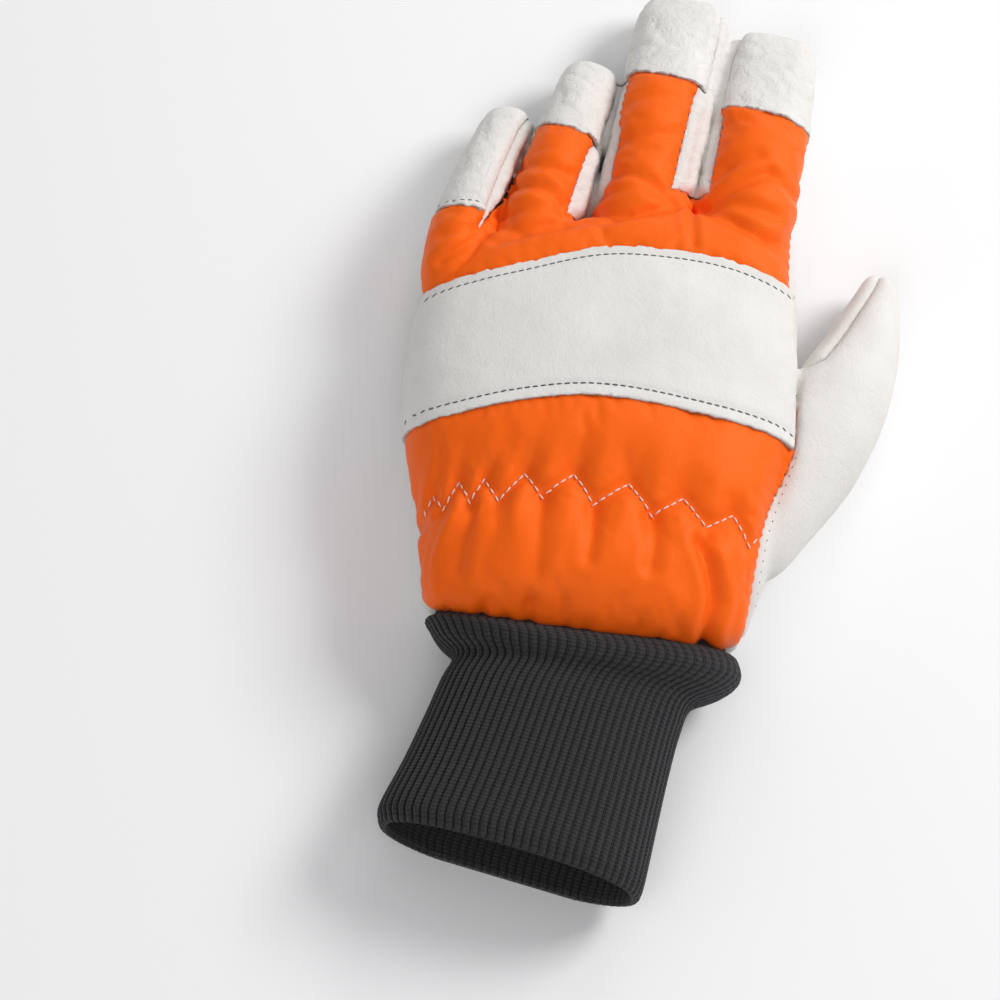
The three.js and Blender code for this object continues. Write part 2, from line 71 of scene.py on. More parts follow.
world = bpy.data.worlds.new("studio")
world.use_nodes = True
world.node_tree.nodes["Background"].inputs["Color"].default_value = WORLD_COLOUR
world.node_tree.nodes["Background"].inputs["Strength"].default_value = WORLD_STRENGTH
bpy.context.scene.world = world
for name, place, size, power in LAMPS:
    lamp = bpy.data.objects.new(name, bpy.data.lights.new(name, "AREA"))
    lamp.data.size = size
    lamp.data.energy = power
    turn = Vector(place).to_track_quat("Z", "Y").to_matrix().to_4x4()
    lamp.matrix_world = Matrix.Translation(place) @ turn
    bpy.context.scene.collection.objects.link(lamp)

floor_mesh = bmesh.new()
bmesh.ops.create_grid(floor_mesh, x_segments=1, y_segments=1, size=FLOOR_HALF)
floor = bpy.data.objects.new("floor", bpy.data.meshes.new("floor"))
floor_mesh.to_mesh(floor.data)
floor.data.materials.append(bpy.data.materials.new("paper"))
floor.data.materials[0].use_nodes = True
paper = floor.data.materials[0].node_tree.nodes["Principled BSDF"]
paper.inputs["Base Color"].default_value = FLOOR_COLOUR
paper.inputs["Roughness"].default_value = FLOOR_ROUGHNESS
bpy.context.scene.collection.objects.link(floor)

# The skin that every panel is cut from, as a glove is sewn to fit one last. The hand, four fingers and
# thumb are skinned over sections, joined into one smooth closed skin and settled flat on the floor.
HAND_LENGTH, HAND_WIDTH, HAND_DEPTH = 138 * MM, 112 * MM, 46 * MM
HEM = -38 * MM
FINGER_DEPTH = 30 * MM
THUMB_LENGTH, THUMB_WIDTH, THUMB_DEPTH = 106 * MM, 40 * MM, 31 * MM
THUMB_ROOT = 0.205
LIFT = 1.7 * MM
SETTLE = 3 * MM
WEB = (4.5 * MM, 13 * MM, 9 * MM)
WEB_HEIGHT = 0.3 * FINGER_DEPTH
VOXEL = 1.0 * MM
SECTION_POINTS = 28
HAND_ROUNDNESS, FINGER_ROUNDNESS, THUMB_ROUNDNESS = 2.35, 2.5, 2.3
ACROSS_SHARE = 0.96
LIFT_FROM, LIFT_OVER = 0.36, 0.06

# along, left, right, top, slant, lift, bow
HAND_SECTIONS = (
    (0.0, -0.4, 0.442, 0.81, 0.04, 0, 3.5 * MM), (0.06, -0.405, 0.45, 0.9, 0.04, 0, 2 * MM),
    (0.16, -0.424, 0.47, 0.96, 0.04, 0, 0), (0.27, -0.46, 0.492, 0.97, 0.03, 0, 0),
    (0.42, -0.515, 0.495, 1.0, 0.03, 1, 0), (0.58, -0.53, 0.485, 0.98, 0.06, 1, 0),
    (0.7, -0.53, 0.465, 0.93, 0.12, 1, 0), (0.81, -0.515, 0.435, 0.86, 0.2, 1, 0),
    (0.9, -0.505, 0.415, 0.78, 0.26, 1, 0), (0.965, -0.49, 0.405, 0.7, 0.3, 1, 0))
# along, wide, deep, mid
FINGER_SECTIONS = (
    (-0.42, 0.7, 0.72, 0.56), (-0.18, 0.92, 0.94, 0.6), (0.02, 1.0, 1.0, 0.6), (0.14, 0.985, 0.95, 0.57),
    (0.3, 0.97, 0.96, 0.56), (0.48, 0.96, 0.93, 0.51), (0.58, 0.95, 0.87, 0.46), (0.72, 0.95, 0.84, 0.4),
    (0.86, 0.94, 0.77, 0.35), (0.95, 0.87, 0.6, 0.32), (1.0, 0.66, 0.34, 0.31))
# along, centre, wide, deep, mid
THUMB_SECTIONS = (
    (0.0, 0.38, 0.6, 0.8, 0.5), (0.14, 0.433, 0.7, 0.95, 0.51), (0.26, 0.48, 0.84, 1.0, 0.5),
    (0.38, 0.51, 0.96, 1.02, 0.49), (0.5, 0.547, 0.94, 1.0, 0.47), (0.61, 0.589, 0.8, 0.95, 0.45),
    (0.73, 0.624, 0.62, 0.86, 0.43), (0.85, 0.644, 0.45, 0.72, 0.4), (0.94, 0.652, 0.3, 0.54, 0.37),
    (1.0, 0.65, 0.13, 0.28, 0.36))


class Finger:
    """A finger's place in plan: its root on the hand, its lean, and the seams across it."""

    def __init__(self, name, x, y, lean, curl, length, width, taper, strip, cap_at, cap, rise):
        self.name = name
        self.root = Vector((x * HAND_WIDTH, HEM + y * HAND_LENGTH))
        turn = math.radians(lean)
        self.way = Vector((math.sin(turn), math.cos(turn)))
        self.side = Vector((math.cos(turn), -math.sin(turn)))
        self.length = length * MM
        self.width = width * MM
        self.curl = curl
        self.taper = taper
        self.strip = strip
        self.cap_at = cap_at
        self.cap = cap
        self.rise = rise

    def half(self, along):
        return self.width / 2 * (1 + (self.taper - 1) * min(max(along, 0), 1))

    def bend(self, along):
        return self.curl * self.length * max(along, 0) ** 2

    def at(self, along, across):
        """A point in plan: along as a share of the length, across as a share of the half width."""
        sideways = self.bend(along) + across * ACROSS_SHARE * self.half(along)
        return self.root + self.way * along * self.length + self.side * sideways

    def along(self, point):
        return (point.xy - self.root).dot(self.way) / self.length

    def across(self, point):
        along = self.along(point)
        return ((point.xy - self.root).dot(self.side) - self.bend(along)) / self.half(along)


FINGERS = (
    Finger("little", -0.458, 0.838, 4, 0.12, 50, 19, 0.84, (-1.4, 0.55), 0.14, (-1.4, 0.55), 0.05),
    Finger("ring", -0.262, 0.92, 9, 0, 58, 22.4, 0.86, (-1.1, 0.72), 0.505, (-1.1, 0.92), 0),
    Finger("middle", 0.0, 1.0, 3, 0, 73.5, 27.5, 1.12, (-0.9, 0.56), 0.55, (-1.1, 0.8), 0),
    Finger("index", 0.268, 1.015, 1, 0, 64, 30, 0.98, (-0.86, 1.0), 0.52, (-0.86, 1.4), -0.05))


def on_hand(x, y):
    return Vector((x * HAND_WIDTH, HEM + y * HAND_LENGTH))


def edges_of(verts):
    """The edges at these points, each once and always in the same order."""
    return list(dict.fromkeys(e for v in verts for e in v.link_edges))


def lay_section(bm, centre, side, half, mid, high, roundness, floor_z, slant=0.0, bow=0.0):
    """A ring of a section: a circle drawn out to a soft rectangle and flattened where it rests."""
    made = bmesh.ops.create_circle(bm, segments=SECTION_POINTS, radius=1)["verts"]
    for v in made:
        c, s = v.co.x, v.co.y
        across = math.copysign(abs(c) ** (2 / roundness), c) * half
        rise = math.copysign(abs(s) ** (2 / roundness), s) * high
        x = centre.x + across * side.x
        y = centre.y + across * side.y + x * slant + bow * (across / half) ** 2
        v.co = (x, y, max(mid + rise, floor_z))
    return edges_of(made)


def skin_over(name, sections):
    bm = bmesh.new()
    rings = [lay_section(bm, *section) for section in sections]
    for first, second in zip(rings, rings[1:]):
        bmesh.ops.bridge_loops(bm, edges=first + second)
    for ring in (rings[0], rings[-1]):
        bmesh.ops.edgeloop_fill(bm, edges=ring)
    bmesh.ops.recalc_face_normals(bm, faces=bm.faces)
    skin = bpy.data.objects.new(name, bpy.data.meshes.new(name))
    bm.to_mesh(skin.data)
    bm.free()
    bpy.context.scene.collection.objects.link(skin)
    subdivide = skin.modifiers.new("smooth", "SUBSURF")
    subdivide.levels = subdivide.render_levels = 2
    return skin


def hand_sections():
    for along, left, right_edge, top, slant, lift, bow in HAND_SECTIONS:
        low, high = lift * LIFT - SETTLE, top * HAND_DEPTH
        centre = Vector(((left + right_edge) / 2 * HAND_WIDTH, HEM + along * HAND_LENGTH))
        yield (centre, Vector((1, 0)), (right_edge - left) / 2 * HAND_WIDTH, (low + high) / 2,
               (high - low) / 2, HAND_ROUNDNESS, low, slant, bow)


def finger_sections(finger):
    for along, wide, deep, mid in FINGER_SECTIONS:
        yield (finger.at(along, 0), finger.side, wide * finger.half(along), mid * FINGER_DEPTH,
               deep * FINGER_DEPTH / 2, FINGER_ROUNDNESS, -SETTLE)


def thumb_sections():
    for along, x, wide, deep, mid in THUMB_SECTIONS:
        centre = Vector((x * HAND_WIDTH, HEM + THUMB_ROOT * HAND_LENGTH + along * THUMB_LENGTH))
        yield (centre, Vector((1, 0)), wide * THUMB_WIDTH / 2, mid * THUMB_DEPTH, deep * THUMB_DEPTH / 2,
               THUMB_ROUNDNESS, -SETTLE)


def take_mesh(obj):
    """The object's mesh with its modifiers applied, and the object removed."""
    depsgraph = bpy.context.evaluated_depsgraph_get()
    mesh = bpy.data.meshes.new_from_object(obj.evaluated_get(depsgraph))
    bpy.data.objects.remove(obj)
    return mesh


def make_last():
    parts = [skin_over("hand", hand_sections()), skin_over("thumb", thumb_sections())]
    parts += [skin_over(finger.name, finger_sections(finger)) for finger in FINGERS]
    bm = bmesh.new()
    for part in parts:
        bm.from_mesh(take_mesh(part))
    ring, middle = FINGERS[1:3]
    web = (ring.at(0.2, 1) + middle.at(0, -1)) / 2
    web_place = Matrix.Translation((web.x, web.y, WEB_HEIGHT)) @ Matrix.Diagonal((*WEB, 1))
    bmesh.ops.create_icosphere(bm, subdivisions=4, radius=1, matrix=web_place)
    last = bpy.data.objects.new("last", bpy.data.meshes.new("last"))
    bm.to_mesh(last.data)
    bm.free()
    bpy.context.scene.collection.objects.link(last)
    remesh = last.modifiers.new("one_skin", "REMESH")
    remesh.mode = "VOXEL"
    remesh.voxel_size = VOXEL
    smooth = last.modifiers.new("smooth", "SMOOTH")
    smooth.factor = 0.5
    smooth.iterations = 10
    mesh = take_mesh(last)
    for v in mesh.vertices:
        lifted = LIFT * min(max((v.co.y - LIFT_FROM * HAND_LENGTH - HEM) / (LIFT_OVER * HAND_LENGTH), 0), 1)
        on_fingers = v.co.y > HEM + (0.9 + v.co.x * 0.9) * HAND_LENGTH or v.co.x > 0.5 * HAND_WIDTH
        v.co.z = max(v.co.z, 0 if on_fingers else lifted)
    mesh.update()
    return mesh


last_mesh = make_last()
for slot_name in ("skin", "cut"):
    last_mesh.materials.append(bpy.data.materials.new(slot_name))
for polygon in last_mesh.polygons:
    polygon.material_index = 0

# Cutting and sewing. A panel is the part of the skin inside its outline, seen from above, and outside
# its neighbours'. Its sewn edges are turned in, so that each seam is a groove between soft edges.
TALL, BELOW = 100 * MM, -10 * MM
LEATHER = 1.6 * MM
CRUMB = 0.1
WELD, SLIVER = 0.12 * MM, 0.02 * MM
ROLL_POWER = 1.3
CREASE_WIDTH = 0.09


def smooth_line(points, steps=6):
    """A smooth curve through the points."""
    padded_points = [points[0] * 2 - points[1], *points, points[-1] * 2 - points[-2]]
    curve = []
    for a, b, c, d in zip(padded_points, padded_points[1:], padded_points[2:], padded_points[3:]):
        for k in range(steps):
            t = k / steps
            curve.append(0.5 * (2 * b + (c - a) * t + (2 * a - 5 * b + 4 * c - d) * t ** 2
                                + (3 * b - a - 3 * c + d) * t ** 3))
    return curve + [points[-1]]


def beside(line, offset):
    """A line in plan moved sideways."""
    moved = []
    for i, point in enumerate(line):
        way = (line[min(i + 1, len(line) - 1)] - line[max(i - 1, 0)]).normalized()
        moved.append(point + Vector((-way.y, way.x)) * offset)
    return moved


def prism(outline, low, high=TALL):
    """An upright cutter over an outline in plan; its faces carry the second material."""
    bm = bmesh.new()
    base = bm.faces.new([bm.verts.new((point.x, point.y, low)) for point in outline])
    top = bmesh.ops.extrude_face_region(bm, geom=[base])["geom"]
    raised = [g for g in top if isinstance(g, bmesh.types.BMVert)]
    bmesh.ops.translate(bm, vec=(0, 0, high - low), verts=raised)
    bmesh.ops.recalc_face_normals(bm, faces=bm.faces)
    for face in bm.faces:
        face.material_index = 1
    mesh = bpy.data.meshes.new("cutter")
    bm.to_mesh(mesh)
    bm.free()
    for material in last_mesh.materials:
        mesh.materials.append(material)
    return mesh


def cut_panel(inside, outside=()):
    """The skin inside every prism of one list and outside every prism of the other, as an open sheet."""
    panel = bpy.data.objects.new("panel", last_mesh.copy())
    bpy.context.scene.collection.objects.link(panel)
    cutters = []
    for mesh, operation in [(m, "INTERSECT") for m in inside] + [(m, "DIFFERENCE") for m in outside]:
        cutter = bpy.data.objects.new("cutter", mesh)
        bpy.context.scene.collection.objects.link(cutter)
        cut = panel.modifiers.new("cut", "BOOLEAN")
        cut.operation = operation
        cut.solver = "MANIFOLD"
        cut.object = cutter
        cutters.append(cutter)
    mesh = take_mesh(panel)
    for cutter in cutters:
        bpy.data.objects.remove(cutter)
    bm = bmesh.new()
    bm.from_mesh(mesh)
    cut_faces = [face for face in bm.faces if face.material_index == 1]
    bmesh.ops.delete(bm, geom=cut_faces, context="FACES")
    bmesh.ops.remove_doubles(bm, verts=bm.verts, dist=WELD)
    bmesh.ops.dissolve_degenerate(bm, edges=bm.edges, dist=SLIVER)
    islands = sorted(islands_of(bm), key=len)
    for island in islands:
        if len(island) < CRUMB * len(islands[-1]):
            bmesh.ops.delete(bm, geom=island, context="VERTS")
    bm.normal_update()
    return bm


def islands_of(bm):
    seen, islands = set(), []
    for start in bm.verts:
        if start in seen:
            continue
        island, queue = [], [start]
        seen.add(start)
        while queue:
            v = queue.pop()
            island.append(v)
            for edge in v.link_edges:
                other = edge.other_vert(v)
                if other not in seen:
                    seen.add(other)
                    queue.append(other)
        islands.append(island)
    return islands


def tree_of(points):
    tree = kdtree.KDTree(len(points))
    for i, point in enumerate(points):
        tree.insert(point, i)
    tree.balance()
    return tree


def edge_tree(bm, sewn=lambda point: True):
    """A tree of the points along the open edges where sewn(point) is true."""
    return tree_of([v.co.copy() for v in bm.verts if v.is_boundary and sewn(v.co)])


def near(distance, width):
    """1 at no distance, falling softly to 0 past the width."""
    return math.exp(-((distance / width) ** 2))


def soften(bm, points, factor=0.5):
    bmesh.ops.smooth_vert(bm, verts=points, factor=factor, use_axis_x=True, use_axis_y=True,
                          use_axis_z=True)


def push(bm, height):
    """Move every vertex along its normal by height(point, normal)."""
    moves = [(v, v.normal * height(v.co, v.normal)) for v in bm.verts]
    for v, move in moves:
        v.co += move
        v.co.z = max(v.co.z, 0)
    bm.normal_update()


def turned_in(bm, depth, width, sewn=lambda point: True):
    """The sink of a panel beside its sewn edges."""
    tree = edge_tree(bm, sewn)
    return lambda point: -depth * math.exp(-((tree.find(point)[2] / width) ** ROLL_POWER))


def wrinkles(point, size, stretch=(1, 1, 1), seed=0.0):
    """Soft creases: thin valleys where a noise field crosses zero."""
    place = Vector((point.x * stretch[0], point.y * stretch[1], point.z * stretch[2])) / size
    return -near(noise.noise(place + Vector((seed, 0, 0))), CREASE_WIDTH)


def swell(point, size, seed=0.0):
    """Slow swells and hollows, from -1 to 1."""
    return noise.noise(point / size + Vector((seed, seed, 0)))


def make_piece(bm, name, material):
    """The mesh as a smooth-shaded object in the scene."""
    piece = bpy.data.objects.new(name, bpy.data.meshes.new(name))
    for face in bm.faces:
        face.smooth = True
        face.material_index = 0
    bm.to_mesh(piece.data)
    bm.free()
    piece.data.materials.append(material)
    bpy.context.scene.collection.objects.link(piece)
    return piece


def finish_panel(bm, name, material, thickness=LEATHER, rim=None, creased=0.0):
    """Give a panel its thickness and put it in place of the solid of its name."""
    layer = bm.verts.layers.float.new("creased")
    for v in bm.verts:
        v[layer] = creased
    piece = make_piece(bm, name, material)
    wall = piece.modifiers.new("wall", "SOLIDIFY")
    wall.thickness = thickness
    wall.offset = -1
    wall.use_even_offset = False
    if rim:
        piece.data.materials.append(rim)
        wall.material_offset_rim = 1
        wall.material_offset = 1
    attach(piece, "root")
    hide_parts(name)
    return piece


def walk(line, pitch):
    """Points and directions at equal steps along a line in plan."""
    done, want = 0.0, pitch / 2
    for a, b in zip(line, line[1:]):
        length = (b - a).length
        while want < done + length:
            yield a + (b - a) * ((want - done) / length), (b - a) / length
            want += pitch
        done += length


def sew(bm, line, surface, pitch, long, thick, side=1, sink=0.0):
    """A row of stitches along a line in plan, each a small grain lying on the surface that it meets."""
    for middle, way in walk(line, pitch):
        start = Vector((middle.x, middle.y, side * TALL))
        place, normal = surface.ray_cast(start, Vector((0, 0, -side)))[:2]
        if place is None:
            continue
        if normal.z * side < 0:
            normal = -normal
        tangent = Vector((way.x, way.y, 0))
        tangent = (tangent - normal * tangent.dot(normal)).normalized()
        turn = Matrix((tangent, normal.cross(tangent), normal)).transposed().to_4x4()
        grain = Matrix.Diagonal((long / 2, thick / 2, thick / 2, 1))
        bmesh.ops.create_icosphere(bm, subdivisions=1, radius=1,
                                   matrix=Matrix.Translation(place - normal * sink) @ turn @ grain)


def finish_thread(bm, name, material):
    thread = make_piece(bm, name, material)
    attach(thread, "root")


def surface_of(bm):
    return BVHTree.FromBMesh(bm)


class Shader:
    """A principled material, with short ways to add textures, sums and layers of relief."""

    def __init__(self, name, colour, roughness, values):
        self.material = bpy.data.materials.new(name)
        self.material.use_nodes = True
        self.nodes = self.material.node_tree.nodes
        self.links = self.material.node_tree.links
        self.surface = self.nodes["Principled BSDF"]
        self.place = self.nodes.new("ShaderNodeTexCoord").outputs["Object"]
        self.normal = None
        self.fill(self.surface, {"Base Color": (*colour, 1), "Roughness": roughness, **values})

    def fill(self, node, values):
        """Set a node's inputs, each to a value or to another node's output."""
        for key, value in values.items():
            if isinstance(value, bpy.types.NodeSocket):
                self.links.new(value, node.inputs[key])
            elif value is not None:
                node.inputs[key].default_value = value

    def texture(self, kind, **values):
        node = self.nodes.new(f"ShaderNodeTex{kind}")
        self.fill(node, {"Vector": self.place, **values})
        return node

    def noise(self, scale, detail, distortion=0.0):
        return self.texture("Noise", Scale=scale, Detail=detail, Distortion=distortion).outputs["Fac"]

    def noise_lines(self, scale, width):
        """Height 0 along the thin lines where a noise crosses its middle, 1 between them."""
        lines = self.nodes.new("ShaderNodeMapRange")
        apart = self.math("ABSOLUTE", self.math("SUBTRACT", self.noise(scale, 5, 0.6), 0.5))
        self.fill(lines, {"Value": apart, "From Max": width})
        return lines.outputs["Result"]

    def attribute(self, name):
        node = self.nodes.new("ShaderNodeAttribute")
        node.attribute_name = name
        return node.outputs["Fac"]

    def math(self, operation, first, second=None):
        node = self.nodes.new("ShaderNodeMath")
        node.operation = operation
        self.fill(node, {0: first, 1: second})
        return node.outputs["Value"]

    def tint(self, factor, stops):
        """Colour the surface by a ramp of two stops, each a position and a colour."""
        ramp = self.nodes.new("ShaderNodeValToRGB")
        for element, (position, colour) in zip(ramp.color_ramp.elements, stops):
            element.position = position
            element.color = (*colour, 1)
        self.fill(ramp, {"Fac": factor})
        self.fill(self.surface, {"Base Color": ramp.outputs["Color"]})

    def bump(self, height, strength, distance):
        """Add a layer of relief over those added before."""
        layer = self.nodes.new("ShaderNodeBump")
        self.fill(layer, {"Height": height, "Strength": strength, "Distance": distance,
                          "Normal": self.normal})
        self.normal = layer.outputs["Normal"]
        self.fill(self.surface, {"Normal": self.normal})


# White grain leather: warm white, faintly blotched, with a pebbled grain and faint creases. The attribute
# "creased" says how deep the creases are where the leather is bent to and fro, as on the fingertips.
def make_leather():
    leather = Shader("white_leather", (0.74, 0.725, 0.7), 0.58, {"Specular IOR Level": 0.35})
    leather.tint(leather.noise(60, 5), ((0.3, (0.71, 0.688, 0.655)), (0.7, (0.775, 0.754, 0.722))))
    grain = leather.texture("Voronoi", Scale=950)
    grain.feature = "DISTANCE_TO_EDGE"
    leather.bump(grain.outputs["Distance"], 0.5, 0.0002)
    leather.bump(leather.noise(260, 6), 0.5, 0.0004)
    leather.bump(leather.noise_lines(150, 0.05), 0.15, 0.0003)
    leather.bump(leather.noise_lines(210, 0.06), leather.attribute("creased"), 0.0004)
    return leather.material


def make_fuzzy(name, colour, roughness, scale, depth):
    """Thread, suede and other short fibres: one colour, broken up by a fine noise."""
    fuzzy = Shader(name, colour, roughness, {})
    fibre = fuzzy.noise(scale, 4)
    fuzzy.tint(fibre, [(0.35 + 0.3 * stop, [min(c * share, 1) for c in colour])
                       for stop, share in ((0, 0.72), (1, 1.15))])
    fuzzy.bump(fibre, 0.7, depth)
    return fuzzy.material


white_leather = make_leather()
cut_edge = make_fuzzy("cut_edge", (0.55, 0.54, 0.525), 0.95, 1400, 0.0004)
grey_thread = make_fuzzy("grey_thread", (0.11, 0.11, 0.115), 0.7, 3000, 0.0001)
pale_thread = make_fuzzy("pale_thread", (0.95, 0.72, 0.66), 0.6, 3000, 0.0001)


# Padded fabric back. Orange woven nylon over padding, sewn to the leather all round, held down under the
# knuckle strap and gathered by a zigzag seam of elastic above the cuff. A cloth simulation swells it, and
# the directed folds are pushed into it afterwards.
def make_fabric():
    fabric = Shader("orange_fabric", (0.95, 0.13, 0.007), 0.48, {
        "Sheen Weight": 0.15, "Sheen Roughness": 0.35, "Sheen Tint": (1.0, 0.45, 0.15, 1),
        "Specular IOR Level": 0.3, "Specular Tint": (1.0, 0.6, 0.3, 1)})
    threads = []
    for axis in "XY":
        weave = fabric.texture("Wave", Scale=700, Distortion=1.5, Detail=1)
        weave.bands_direction = axis
        threads.append(weave.outputs["Fac"])
    fabric.bump(fabric.math("ADD", *threads), 0.22, 0.0001)
    fabric.bump(fabric.noise(200, 4), 0.3, 0.0004)
    return fabric.material


orange_fabric = make_fabric()
SEAM_HEIGHT = 0.37 * HAND_DEPTH
FINGER_SEAM = 0.42 * FINGER_DEPTH
UNDER_CAP = 0.05
FABRIC_EDGE = smooth_line([on_hand(*p) for p in (
    (0.42, -0.1), (0.43, 0.03), (0.446, 0.11), (0.446, 0.24), (0.452, 0.314), (0.482, 0.445), (0.488, 0.504),
    (0.464, 0.66), (0.42, 0.86), (0.4, 1.06))])
STRAP_WIDTH = 50 * MM
# x, y, width
STRAP_LINE = (
    (-0.62, 0.507, 0.86), (-0.54, 0.533, 0.88), (-0.4, 0.569, 0.91), (-0.25, 0.613, 0.93),
    (-0.09, 0.657, 0.98), (0.06, 0.672, 1.0), (0.25, 0.675, 1.02), (0.45, 0.664, 0.96), (0.55, 0.653, 0.94))
# x and y in millimetres
ZIGZAG = [Vector(p) * MM for p in (
    (-58, -2), (-54, -10), (-51, -6), (-48, -12), (-45.5, -5), (-42, -9), (-39, -1), (-35, -7), (-32, 0),
    (-27, -6), (-21, 3), (-15, -3), (-7, 5), (0, -3), (9, 5), (17, -3), (25, 4), (33, -3), (40, 3),
    (46, -4), (49, 0), (53, -4))]
PAST_HEM = 20 * MM
SHOULDER, FOOT, LAP_WIDTH = 0.26, 0.06, 0.85
CAP_STEPS = 36
STRIP_REACH = 1.25


def torn(run, seed):
    """How far a raw edge strays from its line, after the length run along it."""
    return 0.7 * MM * noise.noise(Vector((run / (5 * MM), seed, 0))) + 0.8 * MM * noise.noise(
        Vector((run / (1.7 * MM), seed, 4)))


def strap_edge(side, inside=0.0):
    """An edge of the knuckle strap in plan, side 1 towards the fingers, or a row of stitches inside it."""
    line = smooth_line([on_hand(x, y) + Vector((0, side * (wide * STRAP_WIDTH / 2 - inside)))
                        for x, y, wide in STRAP_LINE], 14)
    ragged = 1 if side > 0 else 0.45
    return line if inside else [p + Vector((0, ragged * torn(p.x, side))) for p in line]


def back_outline(under=0.0):
    """The fabric in plan, its strips lengthened by a share of each finger to lie under the tips."""
    little, ring, middle, index = FINGERS
    narrowed = LAP_WIDTH if under else 1
    outline = [Vector((-HAND_WIDTH, HEM - PAST_HEM)),
               Vector((-HAND_WIDTH, little.at(little.cap_at + under, 0).y))]
    for finger in FINGERS:
        first, last = finger.strip
        shoulder = min(SHOULDER, finger.cap_at)
        lap = [finger.at(finger.cap_at + under, first * narrowed),
               finger.at(finger.cap_at + finger.rise + under, last * narrowed)]
        if finger is not little:
            outline += [finger.at(along, first) for along in (FOOT, shoulder, finger.cap_at)]
        outline += lap + [finger.at(finger.cap_at + finger.rise, last)]
        if finger is not index:
            outline += [finger.at(shoulder, last), finger.at(FOOT, last)]
        if finger is ring:
            outline.append((ring.at(0, 0.95) + middle.at(-0.1, -1)) / 2)
    return outline + [p for p in reversed(FABRIC_EDGE) if p.y < index.at(0, 0).y]


def cap_outline(finger):
    """A leather tip in plan: its torn lower edge, then round past the fingertip."""
    first, last = finger.cap
    outline = []
    for step in range(CAP_STEPS + 1):
        share = step / CAP_STEPS
        stray = torn(share * (last - first) * finger.width / 2, finger.length * 100) / finger.length
        along = finger.cap_at + finger.rise * share + stray
        outline.append(finger.at(along, first + (last - first) * share))
    for along, across in ((0.8, last), (1.1, min(last, 0.6)), (1.1, max(first, -0.6)), (0.8, first)):
        outline.append(finger.at(along, across))
    return outline


def past_cap_edge(finger, point):
    """How far a point lies past a leather tip's lower edge, towards the fingertip."""
    first, last = finger.cap
    share = min(max((finger.across(point) - first) / (last - first), 0), 1)
    return (finger.along(point) - finger.cap_at - finger.rise * share) * finger.length


def under_cap(point, before=0.6 * MM):
    """Whether a point lies at a fabric strip's end, under the leather tip."""
    return any(abs(finger.across(point)) < STRIP_REACH and past_cap_edge(finger, point) > -before
               for finger in FINGERS)


def gap_to(line, point):
    """Distance in plan from a point to a line of points."""
    nearest = 1.0
    for a, b in zip(line, line[1:]):
        run = b - a
        share = min(max((point.xy - a).dot(run) / run.length_squared, 0), 1)
        nearest = min(nearest, (point.xy - a - run * share).length)
    return nearest


def y_on(line, x):
    """The line's y at an x."""
    for a, b in zip(line, line[1:]):
        if a.x <= x <= b.x:
            return a.y + (b.y - a.y) * (x - a.x) / (b.x - a.x)
    return line[0].y if x < line[0].x else line[-1].y


STRAP_TOP, STRAP_BOTTOM = strap_edge(1), strap_edge(-1)


def under_strap(point, inside=0.0):
    return y_on(STRAP_BOTTOM, point.x) + inside < point.y < y_on(STRAP_TOP, point.x) - inside


def swell_fabric(bm, held, shrink, pressure, frames):
    """Cloth simulation, at ten times the size: fabric cut too big for its seams swells where it is free."""
    times = 10
    cloth = bpy.data.objects.new("cloth", bpy.data.meshes.new("cloth"))
    bm.to_mesh(cloth.data)
    bm.free()
    bpy.context.scene.collection.objects.link(cloth)
    group = cloth.vertex_groups.new(name="sewn")
    for v in cloth.data.vertices:
        group.add([v.index], held(v.co), "REPLACE")
        v.co = v.co * times
    sim = cloth.modifiers.new("sim", "CLOTH")
    sim.settings.quality = 5
    sim.settings.mass = 0.25
    sim.settings.air_damping = 6
    sim.settings.tension_stiffness = sim.settings.compression_stiffness = 18
    sim.settings.shear_stiffness = 6
    sim.settings.bending_stiffness = 1.2
    sim.settings.effector_weights.gravity = 0
    sim.settings.vertex_group_mass = "sewn"
    sim.settings.shrink_min = sim.settings.shrink_max = shrink
    sim.settings.use_pressure = True
    sim.settings.uniform_pressure_force = pressure
    sim.point_cache.frame_start = 1
    sim.point_cache.frame_end = frames
    for frame_number in range(1, frames + 1):
        bpy.context.scene.frame_set(frame_number)
    mesh = take_mesh(cloth)
    bpy.context.scene.frame_set(1)
    swollen = bmesh.new()
    swollen.from_mesh(mesh)
    for v in swollen.verts:
        v.co = v.co / times
    soften(swollen, [v for v in swollen.verts if not v.is_boundary], 0.4)
    swollen.normal_update()
    return swollen


def fabric_hold(edges):
    """How firmly each point of the fabric is sewn down, from 0 to 1."""
    def hold(point):
        border = edges.find(point)[2]
        if border < 1.6 * MM or under_strap(point, 1 * MM) or under_cap(point):
            return 1.0
        zigzag = gap_to(ZIGZAG, point)
        return 1.0 if zigzag < 0.7 * MM else 0.0 if min(zigzag, border) > 3 * MM else 0.15
    return hold


ZIGZAG_MIDDLE = [(a + b) / 2 for a, b in zip(ZIGZAG, ZIGZAG[1:])]
FOLD_LENGTH = 36 * MM
